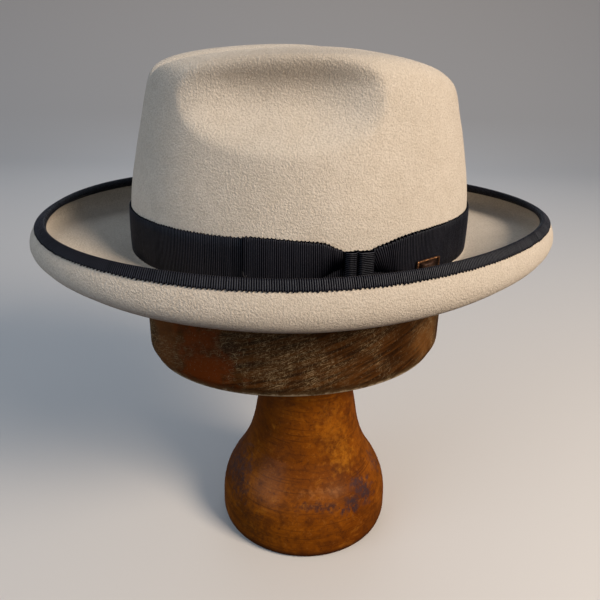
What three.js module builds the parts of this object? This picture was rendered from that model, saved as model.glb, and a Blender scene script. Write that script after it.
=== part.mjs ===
// A homburg hat of pale felt on its wooden stand: an oval block on a turned foot.
// Millimetres, +Z up. The front of the hat faces -Y and the wearer's left is +X.
// The origin is the middle of the foot's underside.
//
// Angles round the hat start at its front and turn towards the wearer's left:
// 0 front, 90 the wearer's left, 180 back, 270 the wearer's right.

import * as THREE from "three";
import { mergeVertices } from "three/addons/utils/BufferGeometryUtils.js";

const STEPS_AROUND = 56;
const GAP = 0.3;

// Stand
const FOOT_HEIGHT = 140.2;
const BLOCK_BOTTOM = FOOT_HEIGHT + GAP;
const BLOCK_HALF_LENGTH = 95.5;
const BLOCK_HALF_WIDTH = 79.8;
const BLOCK_SETBACK = -8.2;
const BLOCK_EDGE_WIDTH = 2.8;
const BLOCK_EDGE_HEIGHT = 6;
const BLOCK_DOME_START = 195;
const BLOCK_DOME_SHAPE = 2.3;

// Head opening and crown, measured on the middle of the felt
const HAT_BASE = 210;
const FELT_THICKNESS = 2;
const CROWN_HALF_LENGTH = 102;
const CROWN_HALF_WIDTH = 85.3;
const CROWN_CENTRE_Y = -6;

// Loops of the crown from its top to the ribbon. Scale is the share of the head opening's size, and
// front, side and back are the heights of the loop over the foot of the crown.
const CROWN_LOOPS = [
  { scale: 0.0, front: 113.8, side: 113.8, back: 113.8 },
  { scale: 0.15, front: 113.6, side: 113.7, back: 112.6 },
  { scale: 0.3, front: 112.9, side: 113.4, back: 110.8 },
  { scale: 0.45, front: 111.5, side: 112.4, back: 108.2 },
  { scale: 0.58, front: 109.4, side: 110.9, back: 105.2 },
  { scale: 0.69, front: 106.9, side: 109.7, back: 101.6 },
  { scale: 0.77, front: 104.6, side: 108.8, back: 98.0 },
  { scale: 0.825, front: 102.2, side: 104.3, back: 94.0 },
  { scale: 0.858, front: 97.6, side: 96.0, back: 89.4 },
  { scale: 0.873, front: 90.5, side: 90.2, back: 85.0 },
  { scale: 0.886, front: 83.5, side: 83.5, back: 80.0 },
  { scale: 0.9, front: 77.0, side: 77.0, back: 74.8 },
  { scale: 0.917, front: 70.0, side: 70.0, back: 69.0 },
  { scale: 0.934, front: 63.0, side: 63.0, back: 61.5 },
  { scale: 0.951, front: 55.0, side: 55.0, back: 53.5 },
  { scale: 0.974, front: 43.0, side: 43.0, back: 41.5 },
  { scale: 0.992, front: 29.0, side: 29.0, back: 28.0 },
  { scale: 1.0, front: 14.0, side: 14.0, back: 14.0 },
  { scale: 1.0, front: 0.3, side: 0.3, back: 0.3 },
];

// Centre crease along the top
const CREASE = { depth: 15, middle: -12, reachFront: 100, reachBack: 88, halfWidth: 19, frontHalfWidth: 12 };
const CREASE_FADE_LOW = 78;
const CREASE_FADE_HIGH = 100;

// Long dent in each side of the crown: its middle, how far it reaches each way, how square its corners
// are, and how softly it ends each way, where a larger power is a softer end
const DENT = { depth: 16, middle: -30, height: 90, tilt: 0.03, front: 51.5, back: 49, above: 18.5, below: 26 };
const DENT_CORNER = 2.4;
const DENT_EDGE = { front: 1.15, back: 1.85, above: 0.85, below: 1.75 };

// Brim: the line where the rolled edge stands out furthest, and the two quarter ovals of the roll
const BRIM_HALF_LENGTH = 161.8;
const BRIM_HALF_WIDTH = 125.2;
const BRIM_CENTRE_Y = -3.4;
const BRIM_FRONT_FULLER = 0.12;
const BRIM_RISE = { ends: 8, sides: -2.5, frontOverBack: 1.9 };
const ROLL_BELOW = { inEnds: 11.4, inSides: 11.9, downEnds: 6.3, downSides: 7.0 };
const ROLL_ABOVE = { inEnds: 14.9, inSides: 12.2, upEnds: 12.3, upSides: 30.8 };
const FELT_EDGE_ANGLE = { ends: 1.113, sides: 0.757 };
const BINDING_ANGLE = { ends: 0.746, sides: 0.57 };
const FELT_INSET = 1.3;
const BREAK_RADIUS = 3.6;
const BREAK_DROP = 2.5;
const BRIM_STEPS = [0.22, 0.48, 0.76, 1];
const LOWER_ROLL_STEPS = [0.3, 0.62, 1];
const BINDING_STEPS = [0, 0.5, 1];

// Grosgrain: band, bow and the tape that binds the brim
const RIBBON_WIDTH = 25.4;
const RIBBON_THICKNESS = 0.9;
const RIBBON_LIFT = 0.4;
const BAND_UNDER_BOW = 0.8;
const BINDING_THICKNESS = 0.5;
const BINDING_OVER_EDGE = 1.05;
const BINDING_WEB = 0.15;

// Bow. Along is the distance from the middle of the knot, top and bottom are heights over the foot of
// the crown, and thick is how far the wing stands off the band. The first rows lie under the knot.
const BOW_ANGLE = 93.9;
const WING_FRONT = [
  { along: 0.4, top: 19.9, bottom: 8.5, thick: 0.9 },
  { along: 8.0, top: 20.2, bottom: 9.2, thick: 0.9 },
  { along: 8.6, top: 20.6, bottom: 10.4, thick: 2.2 },
  { along: 10.5, top: 21.3, bottom: 9.6, thick: 3.0 },
  { along: 13.5, top: 22.9, bottom: 8.4, thick: 3.3 },
  { along: 17.0, top: 24.3, bottom: 7.3, thick: 3.2 },
  { along: 22.0, top: 25.2, bottom: 5.8, thick: 2.8 },
  { along: 29.0, top: 25.7, bottom: 4.0, thick: 2.3 },
  { along: 37.0, top: 26.3, bottom: 2.3, thick: 2.0 },
  { along: 46.0, top: 26.9, bottom: 1.2, thick: 1.8 },
  { along: 58.0, top: 27.1, bottom: 0.7, thick: 1.7 },
];
const WING_BACK = [
  { along: 0.4, top: 19.6, bottom: 8.0, thick: 0.9 },
  { along: 8.0, top: 19.2, bottom: 7.8, thick: 0.9 },
  { along: 8.6, top: 19.2, bottom: 7.6, thick: 2.0 },
  { along: 12.0, top: 20.5, bottom: 7.4, thick: 2.4 },
  { along: 17.0, top: 22.3, bottom: 7.0, thick: 2.6 },
  { along: 23.0, top: 24.0, bottom: 6.2, thick: 2.5 },
  { along: 30.0, top: 25.2, bottom: 4.8, thick: 2.2 },
  { along: 38.0, top: 25.9, bottom: 3.1, thick: 2.0 },
  { along: 47.0, top: 26.3, bottom: 1.6, thick: 1.8 },
  { along: 56.0, top: 26.5, bottom: 0.7, thick: 1.7 },
];
const KNOT_HALF = 7.6;
const KNOT_HEIGHT = 2.6;
const KNOT_TOP = { front: 20.2, back: 19.6 };
const KNOT_BOTTOM = 4.6;
const KNOT_SOFT = 1.4;

// Outline of the knot in plan: two folds with a groove between them
const KNOT_FOLDS = [
  { along: -1, out: 0.35 },
  { along: -0.86, out: 0.85 },
  { along: -0.55, out: 1 },
  { along: -0.3, out: 0.85 },
  { along: -0.2, out: 0.35 },
  { along: -0.1, out: 0.9 },
  { along: 0.3, out: 1.05 },
  { along: 0.7, out: 1 },
  { along: 0.92, out: 0.8 },
  { along: 1, out: 0.4 },
];

// Badge pinned to the back wing
const BADGE = { along: 41.5, width: 18, height: 8.5, bottom: 2, frame: 1.4, depth: 1.3, recess: 0.5 };

const COLOURS = {
  felt: 0xc9b79c,
  grosgrain: 0x1d1b22,
  metal: 0x8a5a34,
  darkWood: 0x3a281c,
  warmWood: 0x8a4a1c,
};

const radians = THREE.MathUtils.degToRad;
const smooth = (x, low, high) => THREE.MathUtils.smoothstep(x, low, high);
const mix = THREE.MathUtils.lerp;

// Value for an angle round the hat, from its value at front and back and its value at the sides
function endsToSides(angle, ends, sides) {
  return mix(ends, sides, Math.sin(angle) ** 2);
}

// Oval round the crown, in plan, at a share of the head opening's size and grown by an offset
function crownOval(angle, scale, grow) {
  const sine = Math.sin(angle);
  const cosine = Math.cos(angle);
  const x = CROWN_HALF_WIDTH * scale * sine;
  const y = -CROWN_HALF_LENGTH * scale * cosine;
  const outX = sine / CROWN_HALF_WIDTH;
  const outY = -cosine / CROWN_HALF_LENGTH;
  const length = Math.hypot(outX, outY);
  return { x: x + (outX / length) * grow, y: CROWN_CENTRE_Y + y + (outY / length) * grow };
}

function creaseDepth(x, y, height) {
  const along = y - CREASE.middle;
  const reach = along < 0 ? CREASE.reachFront : CREASE.reachBack;
  const share = Math.max(0, 1 - (along / reach) ** 2);
  const narrowing = along < 0 ? smooth(-along, 20, CREASE.reachFront) : 0;
  const halfWidth = mix(CREASE.halfWidth, CREASE.frontHalfWidth, narrowing);
  const across = Math.exp(-((x / halfWidth) ** 2));
  return CREASE.depth * share * across * smooth(height, CREASE_FADE_LOW, CREASE_FADE_HIGH);
}

function dentDepth(y, height) {
  const along = y - DENT.middle;
  const up = height - DENT.height - DENT.tilt * along;
  const endAlong = along < 0 ? "front" : "back";
  const endUp = up < 0 ? "below" : "above";
  const shareAlong = Math.abs(along / DENT[endAlong]) ** DENT_CORNER;
  const shareUp = Math.abs(up / DENT[endUp]) ** DENT_CORNER;
  const distance = shareAlong + shareUp;
  if (distance === 0 || distance >= 1) return distance === 0 ? DENT.depth : 0;
  const edge = (DENT_EDGE[endAlong] * shareAlong + DENT_EDGE[endUp] * shareUp) / distance;
  return DENT.depth * (1 - distance) ** edge;
}

// A point of the crown on the middle of the felt
function crownPoint(loop, angle) {
  const { x, y } = crownOval(angle, loop.scale, 0);
  const end = Math.cos(angle) > 0 ? loop.front : loop.back;
  const height = endsToSides(angle, end, loop.side);
  const inward = dentDepth(y, height) * smooth(Math.abs(x), 20, 45);
  const sunk = creaseDepth(x, y, height);
  return new THREE.Vector3(x - Math.sign(x) * inward, y, HAT_BASE + height - sunk);
}

// The line of the rolled edge that stands out furthest, with its outward direction in plan
function brimLine(angle) {
  const sine = Math.sin(angle);
  const cosine = Math.cos(angle);
  const fuller = 1 + BRIM_FRONT_FULLER * cosine;
  const x = BRIM_HALF_WIDTH * sine * fuller;
  const y = -BRIM_HALF_LENGTH * cosine;
  const alongX = BRIM_HALF_WIDTH * (cosine * fuller - BRIM_FRONT_FULLER * sine * sine);
  const alongY = BRIM_HALF_LENGTH * sine;
  const length = Math.hypot(alongX, alongY);
  const height = endsToSides(angle, BRIM_RISE.ends, BRIM_RISE.sides) + BRIM_RISE.frontOverBack * cosine;
  return {
    x,
    y: BRIM_CENTRE_Y + y,
    z: HAT_BASE + height,
    outX: alongY / length,
    outY: -alongX / length,
  };
}

// A point of the rolled edge, at a turn above the outermost line, or below it where the turn is
// negative, and at a depth inside the outer face
function rollPoint(angle, turn, depth) {
  const line = brimLine(angle);
  const above = turn >= 0;
  const acrossSize = above
    ? endsToSides(angle, ROLL_ABOVE.inEnds, ROLL_ABOVE.inSides)
    : endsToSides(angle, ROLL_BELOW.inEnds, ROLL_BELOW.inSides);
  const upSize = above
    ? endsToSides(angle, ROLL_ABOVE.upEnds, ROLL_ABOVE.upSides)
    : endsToSides(angle, ROLL_BELOW.downEnds, ROLL_BELOW.downSides);
  const normalIn = Math.cos(turn) / acrossSize;
  const normalUp = Math.sin(turn) / upSize;
  const length = Math.hypot(normalIn, normalUp);
  const inward = acrossSize * (1 - Math.cos(turn)) + (normalIn / length) * depth;
  const up = upSize * Math.sin(turn) - (normalUp / length) * depth;
  return new THREE.Vector3(line.x - line.outX * inward, line.y - line.outY * inward, line.z + up);
}

// Turns of the roll, as functions of the angle round the hat. The binding reaches from its lower
// edge, at share 0, to the edge of the felt, at share 1.
function lowerRollTurn(share) {
  return () => (-Math.PI / 2) * (1 - share);
}

function bindingTurn(share) {
  return (angle) => {
    const lower = endsToSides(angle, BINDING_ANGLE.ends, BINDING_ANGLE.sides);
    const upper = endsToSides(angle, FELT_EDGE_ANGLE.ends, FELT_EDGE_ANGLE.sides);
    return mix(lower, upper, share);
  };
}

// A point of the flat of the brim, at a share of the way from the foot of the crown to the roll
function brimFlatPoint(angle, share) {
  const inner = crownOval(angle, 1, BREAK_RADIUS);
  const innerZ = HAT_BASE - BREAK_DROP;
  const outer = rollPoint(angle, -Math.PI / 2, FELT_INSET);
  return new THREE.Vector3(
    mix(inner.x, outer.x, share),
    mix(inner.y, outer.y, share),
    mix(innerZ, outer.z, smooth(share, 0, 1)),
  );
}

// The middle of the felt as a list of loops, from the top of the crown to the start of the roll
const openLoops = [
  ...CROWN_LOOPS.map((loop) => (angle) => crownPoint(loop, angle)),
  (angle) => {
    const { x, y } = crownOval(angle, 1, 0.3 * BREAK_RADIUS);
    return new THREE.Vector3(x, y, HAT_BASE - 0.72 * BREAK_DROP);
  },
  (angle) => brimFlatPoint(angle, 0),
  ...BRIM_STEPS.map((share) => (angle) => brimFlatPoint(angle, share)),
];

const rollTurns = [
  ...LOWER_ROLL_STEPS.map(lowerRollTurn),
  bindingTurn(-1),
  ...BINDING_STEPS.map(bindingTurn),
];

// A point on a face of the felt: side 1 is the face towards the sky, -1 the face towards the head
function feltFace(row, angle, side) {
  const offset = (side * FELT_THICKNESS) / 2;
  const loop = openLoops[row];
  if (row === 0) return loop(angle).add(new THREE.Vector3(0, 0, offset));
  const step = 0.01;
  const along = loop(angle + step).sub(loop(angle - step));
  const rollStart = (turn) => rollPoint(turn, rollTurns[0](turn), FELT_INSET);
  const before = openLoops[row - 1](angle);
  const after = (openLoops[row + 1] ?? rollStart)(angle);
  const normal = after.sub(before).cross(along).normalize();
  return loop(angle).addScaledVector(normal, offset);
}

function loopOf(pointAt) {
  const points = [];
  for (let step = 0; step < STEPS_AROUND; step += 1) {
    points.push(pointAt((2 * Math.PI * step) / STEPS_AROUND));
  }
  return points;
}

// A closed surface through loops of points. Neighbouring loops are joined, and the first and the last
// loop are joined to each other for a ring, or filled for a solid with two ends.
function surfaceThrough(loops, isRing) {
  const positions = [];
  const addTriangle = (a, b, c) => positions.push(...a.toArray(), ...b.toArray(), ...c.toArray());
  const last = isRing ? loops.length : loops.length - 1;
  for (let row = 0; row < last; row += 1) {
    const near = loops[row];
    const far = loops[(row + 1) % loops.length];
    for (let step = 0; step < near.length; step += 1) {
      const next = (step + 1) % near.length;
      addTriangle(near[step], far[step], far[next]);
      addTriangle(near[step], far[next], near[next]);
    }
  }
  if (!isRing) {
    const first = loops[0];
    const end = loops[loops.length - 1];
    for (let step = 1; step < first.length - 1; step += 1) {
      addTriangle(first[0], first[step], first[step + 1]);
      addTriangle(end[0], end[step + 1], end[step]);
    }
  }
  return closedGeometry(positions);
}

// Welds the corners, drops triangles that a shared corner leaves empty, and turns the faces outwards
function closedGeometry(positions) {
  const loose = new THREE.BufferGeometry();
  loose.setAttribute("position", new THREE.Float32BufferAttribute(positions, 3));
  const welded = mergeVertices(loose, 1e-3);
  const corners = welded.index.array;
  const points = welded.getAttribute("position");
  const [a, b, c] = [new THREE.Vector3(), new THREE.Vector3(), new THREE.Vector3()];
  const kept = [];
  let volume = 0;
  for (let start = 0; start < corners.length; start += 3) {
    const [i, j, k] = corners.slice(start, start + 3);
    if (i === j || j === k || k === i) continue;
    kept.push([i, j, k]);
    a.fromBufferAttribute(points, i);
    b.fromBufferAttribute(points, j);
    c.fromBufferAttribute(points, k);
    volume += a.dot(b.cross(c));
  }
  welded.setIndex(kept.flatMap(([i, j, k]) => (volume > 0 ? [i, j, k] : [i, k, j])));
  welded.computeVertexNormals();
  return welded;
}

function feltBody() {
  const faceLoops = (side) => [
    ...openLoops.map((_, row) => loopOf((angle) => feltFace(row, angle, side))),
    ...rollTurns.map((turn) =>
      loopOf((angle) => rollPoint(angle, turn(angle), FELT_INSET + (side * FELT_THICKNESS) / 2)),
    ),
  ];
  return surfaceThrough([...faceLoops(1), ...faceLoops(-1).reverse()], false);
}

function brimBinding() {
  const near = FELT_THICKNESS / 2 + GAP;
  const far = near + BINDING_THICKNESS;
  const leg = (offset) =>
    BINDING_STEPS.map((share) => ({ share: share * BINDING_OVER_EDGE, depth: FELT_INSET + offset }));
  const section = [
    ...leg(-far),
    { share: BINDING_OVER_EDGE + BINDING_WEB, depth: FELT_INSET },
    ...leg(far).reverse(),
    ...leg(near),
    ...leg(-near).reverse(),
  ];
  const loops = section.map(({ share, depth }) =>
    loopOf((angle) => rollPoint(angle, bindingTurn(share)(angle), depth)),
  );
  return surfaceThrough(loops, true);
}

// Distance along the band from the knot of the bow to an angle round the hat
function alongBand(angle) {
  const steps = 24;
  const start = radians(BOW_ANGLE);
  let length = 0;
  let before = crownOval(start, 1, 1);
  for (let step = 1; step <= steps; step += 1) {
    const at = crownOval(mix(start, angle, step / steps), 1, 1);
    length += Math.hypot(at.x - before.x, at.y - before.y);
    before = at;
  }
  return angle < start ? -length : length;
}

// Angle round the hat at a distance along the band from the knot of the bow
function angleAlong(distance) {
  let angle = radians(BOW_ANGLE);
  for (let pass = 0; pass < 6; pass += 1) {
    angle += (distance - alongBand(angle)) / CROWN_HALF_LENGTH;
  }
  return angle;
}

// The row of a wing at a distance along it, mixed from the rows on either side
function wingRow(rows, along) {
  const next = Math.max(1, rows.findIndex((row) => row.along >= along));
  const [before, after] = [rows[next - 1], rows[next]];
  const share = (along - before.along) / (after.along - before.along);
  return { top: mix(before.top, after.top, share), thick: mix(before.thick, after.thick, share) };
}

// The band dips under the bow, so that only felt shows over the pinched middle
function bandTop(angle) {
  const distance = alongBand(angle);
  const rows = distance < 0 ? WING_FRONT : WING_BACK;
  const plainTop = RIBBON_LIFT + RIBBON_WIDTH;
  if (Math.abs(distance) > rows.at(-1).along) return plainTop;
  return Math.min(plainTop, wingRow(rows, Math.abs(distance)).top - BAND_UNDER_BOW);
}

// Share of the head opening's size that the crown has at a height behind the band
function crownScaleAt(height) {
  const below = CROWN_LOOPS.findIndex((loop) => loop.side <= height);
  const lower = CROWN_LOOPS[below];
  const upper = CROWN_LOOPS[below - 1];
  return mix(lower.scale, upper.scale, (height - lower.side) / (upper.side - lower.side));
}

// A point off the crown at a height on the band and a distance out from the back of the band
function bandPoint(angle, height, out) {
  const { x, y } = crownOval(angle, crownScaleAt(height), FELT_THICKNESS / 2 + GAP + out);
  return new THREE.Vector3(x, y, HAT_BASE + height);
}

function ribbonBand() {
  const section = [
    { share: 0, out: 0 },
    { share: 0, out: RIBBON_THICKNESS },
    { share: 0.5, out: RIBBON_THICKNESS },
    { share: 1, out: RIBBON_THICKNESS },
    { share: 1, out: 0 },
    { share: 0.5, out: 0 },
  ];
  const loops = section.map(({ share, out }) =>
    loopOf((angle) => bandPoint(angle, mix(RIBBON_LIFT, bandTop(angle), share), out)),
  );
  return surfaceThrough(loops, true);
}

// Outline of a wing across the ribbon, with soft upper and lower edges
function wingSection(distance, { top, bottom, thick }) {
  const angle = angleAlong(distance);
  const inner = RIBBON_THICKNESS + GAP;
  const outer = inner + thick;
  const soft = 0.4 * thick;
  const middle = mix(bottom, top, 0.5);
  return [
    bandPoint(angle, bottom, inner),
    bandPoint(angle, bottom, outer - soft),
    bandPoint(angle, bottom + soft, outer),
    bandPoint(angle, middle, outer + 0.1 * thick),
    bandPoint(angle, top - soft, outer),
    bandPoint(angle, top, outer - soft),
    bandPoint(angle, top, inner),
    bandPoint(angle, middle, inner),
  ];
}

// side -1 is the wing towards the front of the hat, 1 the wing towards its back
function bowWing(rows, side) {
  return surfaceThrough(rows.map((row) => wingSection(side * row.along, row)), false);
}

// The knot wraps the middle of the bow in two upright folds
function bowKnot() {
  const inner = RIBBON_THICKNESS + 2 * GAP + WING_BACK[0].thick * 1.1;
  const section = [
    { up: 0, edge: 0, share: 0 },
    { up: 0, edge: 0, share: 0.5 },
    { up: 0, edge: KNOT_SOFT, share: 1 },
    { up: 0.5, edge: 0, share: 1 },
    { up: 1, edge: -KNOT_SOFT, share: 1 },
    { up: 1, edge: 0, share: 0.5 },
    { up: 1, edge: 0, share: 0 },
    { up: 0.5, edge: 0, share: 0 },
  ];
  const loops = KNOT_FOLDS.map(({ along, out }) => {
    const angle = angleAlong(along * KNOT_HALF);
    const top = mix(KNOT_TOP.front, KNOT_TOP.back, (along + 1) / 2);
    return section.map(({ up, edge, share }) => {
      const height = mix(KNOT_BOTTOM, top, up) + edge;
      return bandPoint(angle, height, inner + out * share * KNOT_HEIGHT);
    });
  });
  return surfaceThrough(loops, false);
}

// A flat plate with a raised frame round a plain recessed field
function bandBadge() {
  const { width, height, frame, depth, recess } = BADGE;
  const field = depth - recess;
  const rectangle = (halfWidth, halfHeight, z) => [
    new THREE.Vector3(-halfWidth, -halfHeight, z),
    new THREE.Vector3(halfWidth, -halfHeight, z),
    new THREE.Vector3(halfWidth, halfHeight, z),
    new THREE.Vector3(-halfWidth, halfHeight, z),
  ];
  return surfaceThrough(
    [
      rectangle(width / 2, height / 2, 0),
      rectangle(width / 2, height / 2, depth - 0.3),
      rectangle(width / 2 - 0.3, height / 2 - 0.3, depth),
      rectangle(width / 2 - frame + 0.2, height / 2 - frame + 0.2, depth),
      rectangle(width / 2 - frame, height / 2 - frame, field),
    ],
    false,
  );
}

// Height of the underside of the crease, where the crown rests on the block
function creaseUnderside() {
  const middle = crownPoint(CROWN_LOOPS[0], 0);
  return middle.z - FELT_THICKNESS / 2;
}

function hatBlock() {
  const domeTop = creaseUnderside() - GAP;
  const domeSteps = 9;
  const loops = [];
  const addLoop = (shrink, scale, z) =>
    loops.push(
      loopOf((angle) => {
        const x = (BLOCK_HALF_WIDTH - shrink) * scale * Math.sin(angle);
        const y = BLOCK_SETBACK - (BLOCK_HALF_LENGTH - shrink) * scale * Math.cos(angle);
        return new THREE.Vector3(x, y, z);
      }),
    );
  addLoop(BLOCK_EDGE_WIDTH + 0.8, 1, BLOCK_BOTTOM);
  addLoop(BLOCK_EDGE_WIDTH, 1, BLOCK_BOTTOM + 1);
  addLoop(0, 1, BLOCK_BOTTOM + BLOCK_EDGE_HEIGHT);
  for (let step = 0; step <= domeSteps; step += 1) {
    const turn = (Math.PI / 2) * (step / domeSteps);
    const rise = Math.sin(turn) ** (2 / BLOCK_DOME_SHAPE);
    const scale = Math.cos(turn) ** (2 / BLOCK_DOME_SHAPE);
    addLoop(0, step === domeSteps ? 0 : scale, mix(BLOCK_DOME_START, domeTop, rise));
  }
  return surfaceThrough(loops, false);
}

// Half section of the turned foot: a bulb on a short flat base, drawn in to a long neck
const FOOT_PROFILE = [
  { radius: 58.6, height: 0 },
  { radius: 59.8, height: 4 },
  { radius: 60.0, height: 12 },
  { radius: 59.4, height: 22 },
  { radius: 57.0, height: 32 },
  { radius: 52.8, height: 41 },
  { radius: 47.2, height: 50 },
  { radius: 42.2, height: 60 },
  { radius: 38.4, height: 71 },
  { radius: 34.4, height: 91 },
  { radius: 30.4, height: 113 },
  { radius: 29.2, height: 129 },
  { radius: 29.6, height: FOOT_HEIGHT },
];

function standFoot() {
  const profile = [
    new THREE.Vector2(0, 0),
    ...FOOT_PROFILE.map(({ radius, height }) => new THREE.Vector2(radius, height)),
    new THREE.Vector2(0, FOOT_HEIGHT),
  ];
  return new THREE.LatheGeometry(profile, 40).rotateX(Math.PI / 2);
}

function meshOf(name, geometry, colour, roughness, metalness) {
  const material = new THREE.MeshStandardMaterial({ color: colour, roughness, metalness });
  const mesh = new THREE.Mesh(geometry, material);
  mesh.name = name;
  return mesh;
}

// The badge lies on the back wing of the bow, so its group takes the wing's direction there
function placedBadge() {
  const wingOut = (along) => RIBBON_THICKNESS + GAP + 1.1 * wingRow(WING_BACK, along).thick;
  const cornerAt = (along) => bandPoint(angleAlong(along), BADGE.bottom + BADGE.height / 2, wingOut(along));
  const middle = cornerAt(BADGE.along);
  const start = cornerAt(BADGE.along - BADGE.width / 2);
  const end = cornerAt(BADGE.along + BADGE.width / 2);
  const along = end.clone().sub(start).normalize();
  const outwards = new THREE.Vector3(along.y, -along.x, 0);
  const badge = meshOf("band_badge", bandBadge(), COLOURS.metal, 0.35, 1);
  badge.rotation.x = Math.PI / 2;
  const group = new THREE.Group();
  group.add(badge);
  group.position.copy(middle.addScaledVector(outwards, GAP));
  group.rotation.z = Math.atan2(along.y, along.x);
  return group;
}

const homburgOnStand = new THREE.Group();
homburgOnStand.add(
  meshOf("stand_foot", standFoot(), COLOURS.warmWood, 0.35, 0),
  meshOf("hat_block", hatBlock(), COLOURS.darkWood, 0.5, 0),
  meshOf("felt_body", feltBody(), COLOURS.felt, 0.95, 0),
  meshOf("brim_binding", brimBinding(), COLOURS.grosgrain, 0.8, 0),
  meshOf("ribbon_band", ribbonBand(), COLOURS.grosgrain, 0.8, 0),
  meshOf("bow_wing_front", bowWing(WING_FRONT, -1), COLOURS.grosgrain, 0.8, 0),
  meshOf("bow_wing_back", bowWing(WING_BACK, 1), COLOURS.grosgrain, 0.8, 0),
  meshOf("bow_knot", bowKnot(), COLOURS.grosgrain, 0.8, 0),
  placedBadge(),
);

export default homburgOnStand;
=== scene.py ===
# A pale felt homburg on its wooden stand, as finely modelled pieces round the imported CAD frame.
# Shapes are in millimetres until a mesh is made. Materials, lights and the camera are in metres.
# Angles round the hat start at its front and turn towards the wearer's left: 0 front, 90 the wearer's
# left, 180 back, 270 the wearer's right.

import math

import bpy
import numpy as np
from mathutils import Matrix, Vector


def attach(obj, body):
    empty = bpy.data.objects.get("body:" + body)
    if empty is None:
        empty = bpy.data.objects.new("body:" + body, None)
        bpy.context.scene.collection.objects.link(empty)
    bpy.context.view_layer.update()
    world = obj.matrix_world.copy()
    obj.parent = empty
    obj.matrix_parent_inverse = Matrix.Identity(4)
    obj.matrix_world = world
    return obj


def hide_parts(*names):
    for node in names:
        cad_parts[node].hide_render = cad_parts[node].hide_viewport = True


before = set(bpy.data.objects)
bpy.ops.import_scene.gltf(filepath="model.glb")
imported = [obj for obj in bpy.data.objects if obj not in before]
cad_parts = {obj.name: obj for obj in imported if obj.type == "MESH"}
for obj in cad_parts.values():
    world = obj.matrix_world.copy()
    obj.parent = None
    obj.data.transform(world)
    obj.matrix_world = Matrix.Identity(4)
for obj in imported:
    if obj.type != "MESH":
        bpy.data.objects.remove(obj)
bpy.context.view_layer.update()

MM = 0.001

# Sizes shared with the CAD part
FOOT_HEIGHT = 140.2
BLOCK = {
    "bottom": 140.5, "half_length": 95.5, "half_width": 79.8, "centre_y": -8.2,
    "dome_start": 195.0, "dome_top": 307.5, "dome_shape": 2.3,
}
HAT_BASE = 210.0
FELT_THICKNESS = 2.0
FELT_INSET = 1.3
CROWN = {"half_length": 102.0, "half_width": 85.3, "centre_y": -6.0}
BRIM = {"half_length": 161.8, "half_width": 125.2, "centre_y": -3.4, "front_fuller": 0.12}
BRIM_RISE = {"ends": 8.0, "sides": 2.5, "front_over_back": 1.9}
ROLL_BELOW = {"in_ends": 11.4, "in_sides": 13.6, "up_ends": 6.3, "up_sides": 13.1}
ROLL_ABOVE = {"in_ends": 14.9, "in_sides": 21.0, "up_ends": 12.3, "up_sides": 25.8}
FELT_EDGE_ANGLE = {"ends": 1.113, "sides": 0.676}
BINDING_ANGLE = {"ends": 0.746, "sides": 0.466}
BREAK = {"radius": 3.6, "drop": 2.5}
GAP = 0.3
RIBBON = {"width": 25.4, "thickness": 0.9, "lift": 0.4, "under_bow": 0.8}
BINDING = {"thickness": 0.5, "over_edge": 1.05, "web": 0.15}

# Loops of the crown from its top to the ribbon: share of the head opening's size, and the heights of
# the loop over the foot of the crown at the front, the sides and the back
CROWN_LOOPS = {
    "scale": [0, 0.15, 0.3, 0.45, 0.58, 0.69, 0.77, 0.825, 0.858, 0.873, 0.886, 0.9, 0.917, 0.934,
              0.951, 0.974, 0.992, 1, 1],
    "front": [113.8, 113.6, 112.9, 111.5, 109.4, 106.9, 104.6, 102.2, 97.6, 90.5, 83.5, 77, 70, 63,
              55, 43, 29, 14, 0.3],
    "side": [113.8, 113.7, 113.4, 112.4, 111.1, 110.2, 108.8, 104.5, 96.2, 90.2, 83.5, 77, 70, 63,
             55, 43, 29, 14, 0.3],
    "back": [113.8, 112.6, 110.8, 108.2, 105.2, 101.6, 98, 94, 89.4, 85, 80, 74.8, 69, 61.5,
             53.5, 41.5, 28, 14, 0.3],
}
CREASE = {
    "depth": 15.0, "middle": -12.0, "front": 100.0, "back": 88.0, "half_width": 19.0,
    "front_half_width": 12.0, "fade_low": 78.0, "fade_high": 100.0,
}
DENT = {
    "depth": 16.8, "middle": -30.0, "height": 90.0, "tilt": 0.03, "front": 51.5, "back": 46.5,
    "above": 21.0, "below": 26.0, "corner": 2.4, "edge_front": 1.15, "edge_back": 1.35,
    "edge_above": 1.25, "edge_below": 1.75,
}

# Bow: distance from the middle of the knot, heights of its edges, and how far it stands off the band
WING_FRONT = {
    "along": [0.4, 8, 8.6, 10.5, 13.5, 17, 22, 29, 37, 46, 58],
    "top": [19.9, 20.2, 20.6, 21.3, 22.9, 24.3, 25.2, 25.7, 26.3, 26.9, 27.1],
    "bottom": [8.5, 9.4, 10.8, 10.7, 9.6, 8.2, 6.5, 4.4, 2.4, 1.2, 0.7],
    "thick": [0.9, 0.9, 1.2, 1.8, 2.7, 3.1, 2.9, 2.4, 2, 1.8, 1.7],
}
WING_BACK = {
    "along": [0.4, 8, 8.6, 12, 17, 23, 30, 38, 47, 56],
    "top": [19.6, 19.2, 19.2, 20.5, 22.3, 24, 25.2, 25.9, 26.3, 26.5],
    "bottom": [8, 7.8, 7.6, 7.4, 7, 6.2, 4.8, 3.1, 1.6, 0.7],
    "thick": [0.9, 0.9, 1.1, 1.8, 2.4, 2.5, 2.2, 2, 1.8, 1.7],
}
# The fold width is that of a painted shade line along the end of each half of the bow
BOW = {
    "angle": 93.9, "knot_edge": 8.0, "end_radius": 0.85, "clear": 0.03, "fold_shade": 0.7,
    "gather": 0.22, "gather_reach": 9.0, "gather_folds": 19.0, "tuck_reach": 11.0, "lean_reach": 9.0,
}
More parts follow.
